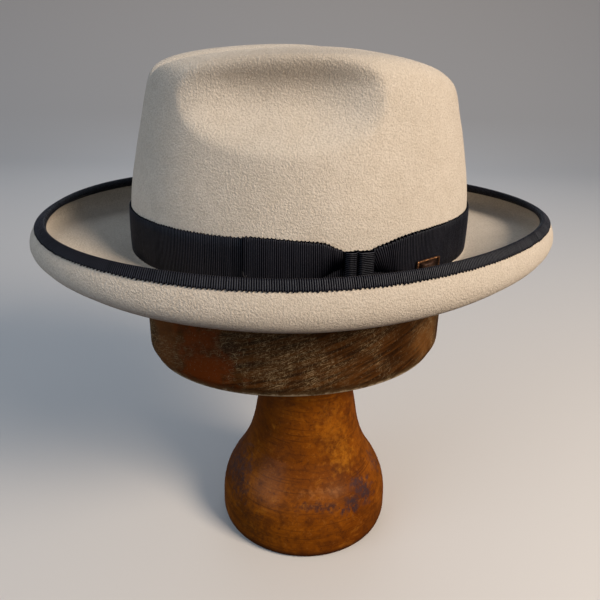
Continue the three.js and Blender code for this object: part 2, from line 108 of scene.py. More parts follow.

# How far the ribs of each half of the bow lean beside the knot, and how far its lower edge is tucked in,
# which also sets how dark the painted shade there is
BESIDE_KNOT = {
    "bow_wing_front": {"lean": 0.15, "tuck": 0.62},
    "bow_wing_back": {"lean": -0.6, "tuck": 0.35},
}
KNOT = {"half": 7.6, "height": 2.6, "top_front": 20.2, "top_back": 19.6, "bottom": 4.6, "soft": 1.4}
KNOT_FOLDS = {
    "along": [-1, -0.86, -0.55, -0.3, -0.2, -0.1, 0.3, 0.7, 0.92, 1],
    "out": [0.35, 0.85, 1, 0.85, 0.3, 0.9, 1.05, 1, 0.8, 0.4],
}

# The end of thread at the front end of the bow, from its top to its hook
STITCH = {
    "along": [57.3, 57.2, 56.9, 56.3, 55.7, 55.6],
    "height": [9.6, 8.6, 7.5, 6.8, 7.1, 7.8],
    "out": [2.9, 3.25, 3.32, 3.3, 3.3, 2.95],
}
STITCH_RADIUS = 0.13
BADGE = {
    "along": 41.5, "width": 18.0, "height": 8.5, "bottom": 2.0, "frame": 1.2, "depth": 1.3,
    "recess": 0.5, "corner": 0.9, "inner_corner": 0.15,
}

# Sections of the ribbon: share of its width, how far out as multiples of the felt's half thickness and
# of the ribbon's own face and a step in millimetres, and how far ribs, with painted shade in their grooves,
# and edge loops reach there
BINDING_OUTSIDE = {
    "share": [0, 0, 0.05, 0.18, 0.42, 0.68, 0.9],
    "felt": [-1, -1, 0, 0, 0, 0, 0],
    "face": [0, 0, -1, -1, -1, -1, -1],
    "step": [-0.14, -0.5, 0.1, 0, 0, 0, 0],
    "rib_and_shade": [0, 0.6, 1, 1, 1, 1, 1],
    "loop": [1, 1, 0.7, 0.2, 0, 0, 0],
}
BINDING_INSIDE = {
    "share": [0.6, 0.2, 0, 0, 0.4, 1.03, 1.08, 1.03, 0.4],
    "felt": [0, 0, 0, 1, 1, 1, 0, -1, -1],
    "face": [1, 1, 1, 0, 0, 0, 0, 0, 0],
    "step": [0, 0, -0.1, 0.14, 0.14, 0.14, 0, -0.14, -0.14],
    "rib_and_shade": [1, 1, 0.6, 0, 0, 0, 0, 0, 0],
    "loop": [0, 0, 0, 0.7, 1, 0, 0, 0, 0],
}
BAND_SECTION = {
    "share": [0, 0, 0.02, 0.2, 0.5, 0.8, 0.98, 1, 1, 0.5],
    "face": [0, 0, 1, 1, 1, 1, 1, 0, 0, 0],
    "step": [-0.15, 0.5, -0.08, 0, 0, 0, -0.06, 0.5, -0.15, -0.1],
    "rib_and_shade": [0, 0.5, 1, 1, 1, 1, 1, 0.5, 0, 0],
    "loop": [-1, -1, -0.6, 0, 0, 0, 0.6, 1, 1, 0],
}

# Section of a half of the bow, where step is upwards and stand is the share of the half's thickness
WING_SECTION = {
    "share": [0, 0, 0, 0, 0, 0.12, 0.3, 0.5, 0.7, 0.88, 1, 1, 1, 1, 1, 1, 1, 1, 0.5],
    "step": [0, 0, 0.1, 0.35, 0.8, 0, 0, 0, 0, 0, -0.8, -0.3, 0, -0.1, -1.1, -1.1, -0.1, 0, 0],
    "stand": [0, 0.55, 0.8, 0.95, 1, 1.04, 1.07, 1.1, 1.07, 1.04, 1, 0.96, 0.82, 0.62, 0.55, 0.45,
              0.4, 0, 0],
    "rib_and_shade": [0, 0.3, 0.7, 1, 1, 1, 1, 1, 1, 1, 1, 1, 0.8, 0.3, 0, 0, 0.3, 0, 0],
    "loop": [0, -1, -1, -0.7, -0.3, 0, 0, 0, 0, 0, 0.3, 0.7, 1, 1, 0, 0, 1, 1, 0],
}

# Section of the badge's frame from its back over its top: step in from the edge, and height
BADGE_FRAME = {
    "step": [0, 0, 0.06, 0.2, 0.42, 0.66, 0.9, 1, 1.06],
    "height": [0, 0.75, 0.95, 1.12, 1.24, 1.28, 1.22, 1.08, 0.92],
}

# The block's worn lower edge: step in from its side, and height over its underside
BLOCK_EDGE = {
    "step": [3.9, 3.3, 2.95, 2.6, 1.9, 1.1, 0.5, 0.15, 0],
    "up": [0, 0.25, 0.8, 1.6, 3, 4.5, 5.6, 6.6, 7.8],
}
FOOT_PROFILE = {
    "radius": [58.6, 59.8, 60, 59.4, 57, 52.8, 47.2, 42.2, 38.4, 34.4, 30.4, 29.2, 29.6],
    "height": [0, 4, 12, 22, 32, 41, 50, 60, 71, 91, 113, 129, 140.2],
}
FOOT_EDGE = {"step": 1.4, "up": 1.6}
TURNING_LINES = {"height": [63.5, 80, 47], "depth": [0.16, 0.16, 0.08], "width": [1.2, 1.2, 1.4]}

# Fineness of the pieces
FELT_STEPS = 336
FELT_ROWS = {"crown": 84, "fillet": 6, "flat": 15, "lower_roll": 10, "upper_roll": 16}
BLOCK_STEPS = 240
BLOCK_ROWS = {"spacing": 4.0, "dome": 20}
FOOT_STEPS = 180
FOOT_ROW = 1.6
RIB = {"binding": 1.1, "band": 1.03, "knot": 1.0}
RIB_HEIGHT = {"binding": 0.42, "band": 0.26, "knot": 0.3}
SCALLOP = {"binding": 0.16, "band": 0.75}
SAMPLES_PER_RIB = 4
KNOT_SAMPLES = 5
UNEVEN_LOOP = 0.15
UNEVEN_RIB = 0.04

# Colours of the materials
# The dent lip colour is painted shade
FELT_COLOURS = {
    "cool": (0.575, 0.520, 0.445), "warm": (0.620, 0.562, 0.485), "cloud": (0.55, 0.492, 0.415),
    "painted_dent_lip_shade": (0.30, 0.262, 0.22), "dark_hair": (0.35, 0.305, 0.25), "pale_hair": (0.78, 0.72, 0.63),
}
# The groove colour is painted shade in the grooves between the ribs
GROSGRAIN_COLOURS = {
    "ridge": (0.0110, 0.0115, 0.0180), "worn_ridge": (0.0165, 0.0160, 0.0235),
    "fibre": (0.045, 0.044, 0.056), "groove": (0.0004, 0.0005, 0.0012),
}
THREAD_COLOURS = {"dark": (0.035, 0.036, 0.042), "pale": (0.070, 0.070, 0.078)}
METAL_COLOURS = {
    "dark_field": (0.030, 0.014, 0.008), "pale_field": (0.065, 0.030, 0.016),
    "dark_frame": (0.15, 0.065, 0.030), "pale_frame": (0.46, 0.23, 0.105),
}
# The warm colour at the back end is a painted reflection, and the light brown at the front end a painted
# sheen
BLOCK_COLOURS = {
    "dark_grain": (0.017, 0.0060, 0.0016), "pale_grain": (0.080, 0.030, 0.0068),
    "red": (0.135, 0.026, 0.0028), "dark_red": (0.050, 0.011, 0.0016), "dust": (0.120, 0.080, 0.036),
    "scratch": (0.36, 0.26, 0.14), "pale_scratch": (0.50, 0.40, 0.25), "worn_edge": (0.17, 0.115, 0.055),
    "bare_edge": (0.52, 0.42, 0.28), "speck": (0.22, 0.17, 0.11), "painted_warm_reflection": (0.21, 0.088, 0.022),
    "dark_patch": (0.014, 0.007, 0.004), "painted_front_sheen": (0.150, 0.052, 0.014),
}
# The neck colour is partly the wood's deeper red, partly painted shade under the block
FOOT_COLOURS = {
    "dark_cloud": (0.125, 0.030, 0.0022), "pale_cloud": (0.235, 0.066, 0.0042),
    "dark_mottle": (0.085, 0.022, 0.0035), "pale_mottle": (0.33, 0.115, 0.012),
    "turned": (0.065, 0.017, 0.003), "neck": (0.075, 0.014, 0.001), "grit": (0.050, 0.014, 0.005),
    "pale_grit": (0.38, 0.15, 0.030), "rim": (0.030, 0.010, 0.006),
}

# Spots: painted shade on the felt over the upper lip of each dent, and marks on the block
DENT_LIP_PAINTED_SHADE = {"place": (0.056, -0.026, 0.313), "size": (0.022, 0.060, 0.017), "strength": 0.5,
            "ragged": 0.25, "fineness": 60}
BARE_PATCH = {"place": (0.056, -0.080, 0.159), "size": (0.021, 0.031, 0.030), "strength": 0.95,
              "ragged": 0.95, "fineness": 130}
# A painted warm reflection on the block's back end
WARM_PAINTED_REFLECTION = {"place": (0.056, 0.062, 0.160), "size": (0.016, 0.022, 0.020), "strength": 0.45}
DARK_PATCH = {"place": (0.066, -0.062, 0.171), "size": (0.007, 0.007, 0.006), "strength": 0.7}
# A painted sheen on the block's front end, which also covers the dust there in light brown
FRONT_PAINTED_SHEEN = {"place": (0.034, -0.097, 0.160), "size": (0.020, 0.014, 0.034), "strength": 0.6}

# Scratches on the block: turn from level, length and width, and how strongly they show
BLOCK_RADIUS = 0.088
SCRATCHES = [
    (0.42, 0.0052, 0.00044, 0.95),
    (0.28, 0.0036, 0.00040, 0.85),
    (1.35, 0.0030, 0.00045, 0.65),
    (-0.65, 0.0026, 0.00042, 0.5),
]
PALE_SCRATCH = (1.2, 0.006, 0.0006, 0.6)

# Marks on the foot: middle and half size, strength and colour. Most are stains in the varnish, and some are
# painted light, as said above their rows
FOOT_RADIUS = 0.045
MARK_EDGE = {"ragged": 1.25, "fineness": 230}
STAINS_AND_PAINTED_LIGHT = [
    # Partly painted reflection of the cool light, partly purple-grey blotches, along the bulb's left edge
    ((-0.004, -0.053, 0.040), (0.012, 0.010, 0.012), 0.85, (0.050, 0.026, 0.026)),
    ((0.006, -0.050, 0.050), (0.020, 0.012, 0.022), 0.8, (0.060, 0.032, 0.030)),
    ((0.018, -0.051, 0.037), (0.014, 0.010, 0.014), 0.7, (0.048, 0.024, 0.022)),
    ((-0.017, -0.047, 0.045), (0.012, 0.012, 0.014), 0.7, (0.055, 0.028, 0.030)),
    ((0.052, 0.019, 0.035), (0.008, 0.009, 0.007), 1.0, (0.042, 0.022, 0.024)),
    ((0.044, 0.032, 0.037), (0.009, 0.010, 0.009), 1.0, (0.046, 0.024, 0.026)),
    ((0.043, 0.028, 0.044), (0.008, 0.009, 0.008), 0.9, (0.050, 0.026, 0.028)),
    ((0.0535, -0.004, 0.039), (0.005, 0.007, 0.004), 0.9, (0.050, 0.020, 0.016)),
    ((0.054, 0.004, 0.037), (0.005, 0.006, 0.004), 0.9, (0.045, 0.018, 0.015)),
    ((0.052, -0.013, 0.039), (0.005, 0.007, 0.004), 0.8, (0.055, 0.020, 0.014)),
    ((0.035, -0.047, 0.024), (0.012, 0.012, 0.008), 0.6, (0.060, 0.020, 0.008)),
    ((0.040, -0.045, 0.013), (0.014, 0.014, 0.006), 0.6, (0.050, 0.016, 0.007)),
    # Partly painted reflection of the cool light, partly a purple-grey blotch, near the bulb's right edge
    ((0.021, 0.046, 0.0445), (0.010, 0.008, 0.010), 0.7, (0.060, 0.030, 0.030)),
    # Painted highlights of the warm light on the right side of the neck
    ((0.034, 0.011, 0.0845), (0.014, 0.016, 0.024), 0.45, (0.38, 0.130, 0.009)),
    ((0.036, 0.019, 0.064), (0.012, 0.014, 0.012), 0.45, (0.44, 0.165, 0.012)),
    ((0.052, -0.002, 0.047), (0.010, 0.016, 0.005), 0.5, (0.34, 0.125, 0.030)),
]

# Camera, with its turns in radians, and its lens in millimetres on a sensor 36 wide
CAMERA = {"place": (0.366, -0.10135, 0.328), "yaw": 0.2547, "pitch": -0.4028, "roll": 0.0215,
          "lens": 37.206, "sensor": 36.0}

# Soft boxes of the studio: place, size, power in watts and colour. All point at the hat.
LIGHTS = {
    "key": {"place": (0.95, 0.73, 0.96), "size": 0.55, "power": 24.6, "colour": (1.0, 0.83, 0.66)},
    "fill": {"place": (0.6, -1.6, 0.85), "size": 1.4, "power": 9.8, "colour": (0.72, 0.86, 1.0)},
    "back": {"place": (-1.2, 0.3, 0.9), "size": 1.0, "power": 3.0, "colour": (0.82, 0.9, 1.0)},
}
LIGHT_AIM = (0, 0, 0.2)

# Colour of the studio round the hat, from straight below at 0 to straight above at 1
SKY = [
    (0.0, (0.045, 0.024, 0.014)),
    (0.49, (0.085, 0.050, 0.034)),
    (0.64, (0.29, 0.32, 0.37)),
    (1.0, (0.15, 0.17, 0.20)),
]
FLOOR = {"before": 2.5, "behind": 1.3, "sweep": 0.9, "half_width": 4.0, "wall": 3.5, "below": 0.0005}


def mix(a, b, share):
    return a + (b - a) * share


def smooth(x, low, high):
    t = np.clip((x - low) / (high - low), 0, 1)
    return t * t * (3 - 2 * t)


def ends_to_sides(angle, ends, sides):
    return mix(ends, sides, np.sin(angle) ** 2)


def stack(x, y, z):
    return np.stack(np.broadcast_arrays(x, y, z), axis=-1).astype(float)


def unit(v):
    return v / np.maximum(np.linalg.norm(v, axis=-1, keepdims=True), 1e-12)


def round_angles(steps):
    return np.linspace(0, 2 * math.pi, steps, endpoint=False)[None, :]


def columns(table):
    return [np.array(column, float) for column in table.values()]


def eased(x, xs, ys):
    """Smooth curve through the points of a table, read at x."""
    xs, ys = np.asarray(xs, float), np.asarray(ys, float)
    steps = np.diff(xs)
    secants = np.diff(ys) / steps
    slopes = np.empty_like(ys)
    slopes[0], slopes[-1] = secants[0], secants[-1]
    slopes[1:-1] = (secants[:-1] * steps[1:] + secants[1:] * steps[:-1]) / (steps[:-1] + steps[1:])
    x = np.clip(x, xs[0], xs[-1])
    k = np.clip(np.searchsorted(xs, x, side="right") - 1, 0, len(steps) - 1)
    h = steps[k]
    t = (x - xs[k]) / h
    a, b = ys[k], ys[k + 1]
    return (
        (2 * t**3 - 3 * t**2 + 1) * a + (t**3 - 2 * t**2 + t) * h * slopes[k]
        + (3 * t**2 - 2 * t**3) * b + (t**3 - t**2) * h * slopes[k + 1]
    )


def crown_oval(angle, scale, grow):
    """Oval round the crown, in plan, at a share of the head opening's size and grown by an offset."""
    a, b = CROWN["half_width"], CROWN["half_length"]
    sine, cosine = np.sin(angle), np.cos(angle)
    length = np.hypot(sine / a, cosine / b)
    x = a * scale * sine + sine / a / length * grow
    y = CROWN["centre_y"] - b * scale * cosine - cosine / b / length * grow
    return x, y


def crease_depth(x, y, height):
    along = y - CREASE["middle"]
    reach = np.where(along < 0, CREASE["front"], CREASE["back"])
    share = np.maximum(0, 1 - (along / reach) ** 2)
    narrowing = np.where(along < 0, smooth(-along, 20, CREASE["front"]), 0)
    half_width = mix(CREASE["half_width"], CREASE["front_half_width"], narrowing)
    fade = smooth(height, CREASE["fade_low"], CREASE["fade_high"])
    return CREASE["depth"] * share * np.exp(-((x / half_width) ** 2)) * fade


def dent_depth(y, height):
    along = y - DENT["middle"]
    up = height - DENT["height"] - DENT["tilt"] * along
    reach_along = np.where(along < 0, DENT["front"], DENT["back"])
    reach_up = np.where(up < 0, DENT["below"], DENT["above"])
    share_along = np.abs(along / reach_along) ** DENT["corner"]
    share_up = np.abs(up / reach_up) ** DENT["corner"]
    distance = share_along + share_up
    edge_along = np.where(along < 0, DENT["edge_front"], DENT["edge_back"])
    edge_up = np.where(up < 0, DENT["edge_below"], DENT["edge_above"])
    edge = (edge_along * share_along + edge_up * share_up) / np.maximum(distance, 1e-9)
    return DENT["depth"] * np.maximum(0, 1 - distance) ** edge


# Share of the way down the crown at each of its loops, from its profile at the side
LOOP_WAY = np.concatenate([[0], np.cumsum(np.hypot(
    np.diff(CROWN_LOOPS["scale"]) * CROWN["half_length"], np.diff(CROWN_LOOPS["side"])
))])
LOOP_WAY /= LOOP_WAY[-1]


def crown_point(way, angle):
    """A point of the crown on the middle of the felt, at a share of the way from its top."""
    scale, front, side, back = (
        eased(way, LOOP_WAY, CROWN_LOOPS[k]) for k in ("scale", "front", "side", "back")
    )
    x, y = crown_oval(angle, scale, 0)
    height = ends_to_sides(angle, np.where(np.cos(angle) > 0, front, back), side)
    inward = dent_depth(y, height) * smooth(np.abs(x), 20, 45)
    return stack(x - np.sign(x) * inward, y, HAT_BASE + height - crease_depth(x, y, height))


def brim_line(angle):
    """The line of the rolled edge that stands out furthest, with its outward direction in plan."""
    sine, cosine = np.sin(angle), np.cos(angle)
    a, b, fuller = BRIM["half_width"], BRIM["half_length"], BRIM["front_fuller"]
    x = a * sine * (1 + fuller * cosine)
    y = BRIM["centre_y"] - b * cosine
    along_x = a * (cosine * (1 + fuller * cosine) - fuller * sine**2)
    along_y = b * sine
    length = np.hypot(along_x, along_y)
    rise = ends_to_sides(angle, BRIM_RISE["ends"], BRIM_RISE["sides"])
    z = HAT_BASE + rise + BRIM_RISE["front_over_back"] * cosine
    return x, y, z, along_y / length, -along_x / length


def roll_point(angle, turn, depth):
    """A point of the rolled edge, at a turn over (or, if negative, under) its outermost line."""
    x, y, z, out_x, out_y = brim_line(angle)
    over, under = (
        [ends_to_sides(angle, roll[k + "_ends"], roll[k + "_sides"]) for k in ("in", "up")]
        for roll in (ROLL_ABOVE, ROLL_BELOW)
    )
    across = np.where(turn >= 0, over[0], under[0])
    tall = np.where(turn >= 0, over[1], under[1])
    normal_in, normal_up = np.cos(turn) / across, np.sin(turn) / tall
    length = np.hypot(normal_in, normal_up)
    inward = across * (1 - np.cos(turn)) + normal_in / length * depth
    height = z + tall * np.sin(turn) - normal_up / length * depth
    return stack(x - out_x * inward, y - out_y * inward, height)


def binding_turn(angle, share):
    lower = ends_to_sides(angle, BINDING_ANGLE["ends"], BINDING_ANGLE["sides"])
    upper = ends_to_sides(angle, FELT_EDGE_ANGLE["ends"], FELT_EDGE_ANGLE["sides"])
    return mix(lower, upper, share)


def fillet_point(angle, turn):
    """The small curve where the crown runs out into the brim."""
    x, y = crown_oval(angle, 1, BREAK["radius"] * (1 - np.cos(turn)))
    return stack(x, y, HAT_BASE + GAP - (BREAK["drop"] + GAP) * np.sin(turn))


def brim_flat_point(angle, share):
    inner = fillet_point(angle, math.pi / 2)
    outer = roll_point(angle, -math.pi / 2, FELT_INSET)
    point = mix(inner, outer, share[..., None])
    point[..., 2] = mix(inner[..., 2], outer[..., 2], smooth(share, 0, 1))
    return point


def unevenness(angle, way):
    """Slow swells that a hand-blocked felt keeps, as an offset along its face."""
    return (
        0.28 * np.sin(3 * angle + 5.1 * way + 0.6) * np.sin(7.3 * way + 0.4)
        + 0.2 * np.sin(7 * angle - 9.7 * way + 2.1)
        + 0.12 * np.sin(13 * angle + 17 * way + 4.0)
    )


def felt_middle():
    """Rows of the felt's middle from the top of the crown to the edge of the brim, with normals."""
    def after(low, high, rows):
        return np.linspace(low, high, FELT_ROWS[rows] + 1)[1:, None]

    angle = round_angles(FELT_STEPS)
    way = np.linspace(0, 1, FELT_ROWS["crown"])[:, None]
    share = after(0, 1, "flat")
    rows = np.concatenate([
        crown_point(way, angle),
        fillet_point(angle, after(0, math.pi / 2, "fillet")),
        brim_flat_point(angle, np.broadcast_to(share, (len(share), FELT_STEPS))),
        roll_point(angle, after(-math.pi / 2, 0, "lower_roll"), FELT_INSET),
        roll_point(angle, after(0, 1, "upper_roll") * binding_turn(angle, 1), FELT_INSET),
    ])
    around = np.roll(rows, -1, axis=1) - np.roll(rows, 1, axis=1)
    down = np.gradient(rows, axis=0)
    normals = unit(np.cross(down, around))
    normals[0] = [0, 0, 1]
    return rows, normals


def make_object(name, points, faces, nodes, rib_and_shade=None):
    """A mesh from points in millimetres and quads, riding on the frame in place of CAD nodes."""
    mesh = bpy.data.meshes.new(name)
    kept = [[v for i, v in enumerate(f) if v != f[i - 1]] for f in np.asarray(faces).tolist()]
    kept = [f for f in kept if len(f) > 2]
    corners = np.array([v for f in kept for v in f], np.int32)
    sizes = np.array([len(f) for f in kept], np.int32)
    starts = np.concatenate([[0], np.cumsum(sizes)[:-1]]).astype(np.int32)
    mesh.vertices.add(len(points))
    mesh.vertices.foreach_set("co", (np.asarray(points) * MM).astype(np.float32).reshape(-1))
    mesh.loops.add(len(corners))
    mesh.loops.foreach_set("vertex_index", corners)
    mesh.polygons.add(len(sizes))
    mesh.polygons.foreach_set("loop_start", starts)
    mesh.polygons.foreach_set("use_smooth", np.ones(len(sizes), bool))
    mesh.update(calc_edges=True)
    mesh.validate()
    if rib_and_shade is not None:
        layer = mesh.attributes.new("rib_and_shade", "FLOAT", "POINT")
        layer.data.foreach_set("value", np.asarray(rib_and_shade, np.float32).reshape(-1))
    made = bpy.data.objects.new(name, mesh)
    bpy.context.scene.collection.objects.link(made)
    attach(made, "root")
    if nodes:
        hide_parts(*nodes)
    return made


def grid_faces(rows, across, ring_rows=False):
    """Quads of a grid of points whose last column joins its first, and its last row too for a ring."""
    row = np.arange(rows if ring_rows else rows - 1)[:, None]
    column = np.arange(across)[None, :]
    next_row, next_column = (row + 1) % rows, (column + 1) % across
    quads = np.stack(np.broadcast_arrays(
        row * across + column, next_row * across + column,
        next_row * across + next_column, row * across + next_column,
    ), axis=-1)
    return quads.reshape(-1, 4)


def ring(name, grid, node, rib_and_shade):
    """A ribbon that runs round the hat, from a grid with a row for each point of its section."""
    faces = grid_faces(grid.shape[0], grid.shape[1], ring_rows=True)
    return make_object(name, grid.reshape(-1, 3), faces, [node], rib_and_shade)


def closed_strip(name, grid, nodes, rib_and_shade=None):
    """A tube with a section in each row of the grid, closed at both ends by fans round a middle point."""
    rows, across = grid.shape[:2]
    points, faces = grid.reshape(-1, 3), grid_faces(rows, across)
    middles, closing = [], []
    for first in (0, (rows - 1) * across):
        loop = list(range(first, first + across))
        middle = len(points) + len(middles)
        middles.append(np.mean(points[loop], axis=0))
        closing += [[a, b, middle, middle] for a, b in zip(loop, loop[1:] + loop[:1])]
    if rib_and_shade is not None:
        rib_and_shade = np.concatenate([rib_and_shade.reshape(-1), np.zeros(len(middles))])
    points, faces = np.concatenate([points, middles]), np.concatenate([faces, closing])
    return make_object(name, points, faces, nodes, rib_and_shade)


def turned_body(name, grid, nodes):
    """A closed body of rows, whose first and last rows are each drawn into one point."""
    rows, across = grid.shape[:2]
    index = np.arange(rows * across)
    index[:across] = 0
    index[-across:] = (rows - 1) * across
    return make_object(name, grid.reshape(-1, 3), index[grid_faces(rows, across)], nodes)


def felt_body():
    middle, normals = felt_middle()
    total, crown = len(middle), FELT_ROWS["crown"]
    row = np.arange(total)[:, None]
    # The swells stay clear of the crown's top, of the band and of the rolled edge
    calm = smooth(row, 40, 54) * (1 - smooth(row, crown - 18, crown - 10))
    calm = calm + smooth(row, crown + 8, crown + 14) * (1 - smooth(row, total - 30, total - 16))
    swell = unevenness(round_angles(FELT_STEPS), row / (total - 1)) * calm
    outside = middle + normals * (FELT_THICKNESS / 2 + swell[..., None])
    inside = (middle - normals * (FELT_THICKNESS / 2 - swell[..., None]))[::-1]
    kept = np.unique(np.concatenate([np.arange(0, total, 2), [total - 1]]))
    return turned_body("felt_shell", np.concatenate([outside, inside[kept]]), ["felt_body"])


def around_by_length(line, pitch):
    """Angles of evenly spaced samples along a closed line, a whole number of ribs to the round."""
    angle = np.linspace(0, 2 * math.pi, 7201)
    points = line(angle)
    way = np.concatenate([[0], np.cumsum(np.linalg.norm(np.diff(points, axis=0), axis=1))])
    ribs = 2 * round(way[-1] / pitch / 2)
    samples = np.arange(ribs * SAMPLES_PER_RIB)
    return np.interp(samples / len(samples) * way[-1], way, angle), samples, way[-1]


def rib_wave(samples):
    """Height of the ribs, 1 along their tops and 0 in the narrow grooves between them."""
    return 1 - (0.5 - 0.5 * np.cos(2 * math.pi * samples / SAMPLES_PER_RIB)) ** 2


def loop_wave(samples):
    """The small loops along the edge of the ribbon, one to each two ribs, from -0.5 to 0.5."""
    phase = 2 * math.pi * samples / SAMPLES_PER_RIB
    return 0.38 * np.cos(phase / 2) + 0.12 * np.cos(phase)


def rib_chance(seed, samples):
    """A number by chance for each rib, the same at all of its samples."""
    ribs = math.ceil(len(samples) / SAMPLES_PER_RIB)
    by_rib = np.random.default_rng(seed).normal(0, 1, ribs)
    return np.repeat(by_rib, SAMPLES_PER_RIB)[: len(samples)]


def binding_section():
    """Section of the folded tape: share of the way up, depth, and reach of its ribs and edge loops."""
    half_felt = FELT_THICKNESS / 2
    tape_face = half_felt + GAP + BINDING["thickness"]
    turn = np.linspace(0, math.pi, 7)
    over_edge = [
        BINDING["over_edge"] + BINDING["web"] * np.sin(turn), -tape_face * np.cos(turn),
        np.ones(len(turn)), np.zeros(len(turn)),
    ]
    sides = []
    for table in (BINDING_OUTSIDE, BINDING_INSIDE):
        share, felt, face, step, rib_and_shade, loop = columns(table)
        sides.append([share, felt * half_felt + face * tape_face + step, rib_and_shade, loop])
    return [np.concatenate(column)[:, None] for column in zip(sides[0], over_edge, sides[1])]


def brim_binding():
    angle, samples, _ = around_by_length(lambda a: roll_point(a, 0.6, 0), RIB["binding"])
    angle, wave, loops = angle[None, :], rib_wave(samples)[None, :], loop_wave(samples)[None, :]
    uneven = rib_chance(5, samples)[None, :]
    share, depth, outer, edge = binding_section()
    moved = share - edge * SCALLOP["binding"] * (loops + UNEVEN_LOOP * uneven)
    lift = outer * (RIB_HEIGHT["binding"] * (wave - 0.5) + 0.012 * uneven)
    grid = roll_point(angle, binding_turn(angle, moved), FELT_INSET + depth + np.sign(depth) * lift)
    # Painted shade in the grooves between the ribs
    rib_and_shade = np.clip(wave + UNEVEN_RIB * uneven, 0, 1) * outer
    return ring("binding_tape", grid, "brim_binding", rib_and_shade)


# Distance along the band from the knot of the bow, at each angle round the hat
BAND_ANGLES = np.linspace(0, 2 * math.pi, 7201)
BAND_XY = np.stack(crown_oval(BAND_ANGLES, 1, 1), -1)
BAND_WAY = np.concatenate([[0], np.cumsum(np.linalg.norm(np.diff(BAND_XY, axis=0), axis=1))])
BAND_START = np.interp(math.radians(BOW["angle"]), BAND_ANGLES, BAND_WAY)


def angle_along(distance):
    return np.interp(BAND_START + distance, BAND_WAY, BAND_ANGLES)


def band_top(distance):
    """Height of the band's upper edge, which dips under the bow."""
    plain = RIBBON["lift"] + RIBBON["width"]
    away = np.abs(distance)
    front = eased(away, WING_FRONT["along"], WING_FRONT["top"])
    back = eased(away, WING_BACK["along"], WING_BACK["top"])
    reach = np.where(distance < 0, WING_FRONT["along"][-1], WING_BACK["along"][-1])
    dipped = np.minimum(plain, np.where(distance < 0, front, back) - RIBBON["under_bow"])
    return np.where(away > reach, plain, dipped)


def crown_scale_at(height):
    return eased(height, CROWN_LOOPS["side"][::-1], CROWN_LOOPS["scale"][::-1])


def band_point(angle, height, out):
    x, y = crown_oval(angle, crown_scale_at(height), FELT_THICKNESS / 2 + GAP + out)
    return stack(x, y, HAT_BASE + height)


def ribbon_band():
    angle, samples, length = around_by_length(lambda a: band_point(a, 12.0, 1), RIB["band"])
    wave, loops = rib_wave(samples)[None, :], loop_wave(samples)[None, :]
    uneven = rib_chance(11, samples)[None, :]
    way = np.interp(angle, BAND_ANGLES, BAND_WAY) - BAND_START
    top = band_top((way + length / 2) % length - length / 2)[None, :]
    share, face, step, outer, edge = (column[:, None] for column in columns(BAND_SECTION))
    height = mix(RIBBON["lift"], top, share) + edge * SCALLOP["band"] * (loops + UNEVEN_LOOP * uneven)
    lift = outer * (RIB_HEIGHT["band"] * (wave - 0.5) + 0.01 * uneven)
    grid = band_point(angle[None, :], height, face * RIBBON["thickness"] + step + lift)
    # Painted shade in the grooves between the ribs
    rib_and_shade = np.clip(wave + UNEVEN_RIB * uneven, 0, 1) * np.minimum(1, 2 * outer)
    return ring("hat_band", grid, "ribbon_band", rib_and_shade)


def bow_wing(name, node, rows, side, seed):
    """One half of the bow: a flattened loop of ribbon, drawn together beside the knot."""
    start, end = rows["along"][0], rows["along"][-1]
    samples = np.arange(round((end - start) / RIB["band"]) * SAMPLES_PER_RIB + 1)
    wave, loops = rib_wave(samples)[:, None], loop_wave(samples)[:, None]
    uneven = rib_chance(seed, samples)[:, None]
    along = (start + (end - start) * samples / samples[-1])[:, None]
    top, bottom, thick = (eased(along, rows["along"], rows[k]) for k in ("top", "bottom", "thick"))
    share, step, stand, outer, edge = (column[None, :] for column in columns(WING_SECTION))
    past_knot, beside = along - BOW["knot_edge"], BESIDE_KNOT[node]
    height = mix(bottom, top, share) + step * mix(0.4, 1, smooth(end - along, 0.2, 2.0))
    height = height + edge * SCALLOP["band"] * (loops + UNEVEN_LOOP * uneven)
    into_end = np.clip((along - (end - BOW["end_radius"])) / BOW["end_radius"], 0, 1)
    rounded = np.sqrt(np.clip(1 - into_end**2, 0.0, 1))
    tucked_and_shaded = 1 - beside["tuck"] * np.exp(-((past_knot / BOW["tuck_reach"]) ** 2)) * (1 - share) ** 1.5
    gathers = BOW["gather"] * np.exp(-((past_knot / BOW["gather_reach"]) ** 2)) * smooth(past_knot, 0, 2)
    gathers = gathers * np.sin(share * BOW["gather_folds"] + 0.4 * side)
    lift = outer * rounded * (RIB_HEIGHT["band"] * (wave - 0.5) + 0.012 * uneven + gathers)
    out = RIBBON["thickness"] + GAP + BOW["clear"] + thick * stand * rounded * tucked_and_shaded + lift
    lean = beside["lean"] * np.exp(-np.maximum(past_knot, 0) / BOW["lean_reach"]) * smooth(past_knot, -1, 1)
    slid = along + lean * (share - 0.5) * (top - bottom)
    grid = band_point(angle_along(side * slid), height, out)
    # Painted shade: the ribs darken to the groove colour in the grooves, along the fold at the wing's end
    # and in the gather low beside the knot
    rib_and_shade = np.clip(wave + UNEVEN_RIB * uneven, 0, 1) * np.minimum(1, 2 * outer)
    rib_and_shade = rib_and_shade * (1 - np.exp(-(((end - along) / BOW["fold_shade"]) ** 2))) * tucked_and_shaded**1.5
    return closed_strip(name, grid, [node], rib_and_shade)


def bow_stitch():
    """The small end of thread that shows at the front end of the bow."""
    step = np.arange(len(STITCH["along"]))
    path = np.linspace(0, step[-1], 16)[:, None]
    along, height, out = (eased(path, step, STITCH[k]) for k in ("along", "height", "out"))
    around = round_angles(8)
    angle = angle_along(-along + STITCH_RADIUS * np.cos(around))
    grid = band_point(angle, height + 0 * around, out + STITCH_RADIUS * np.sin(around))
    return closed_strip("bow_stitch", grid, [])


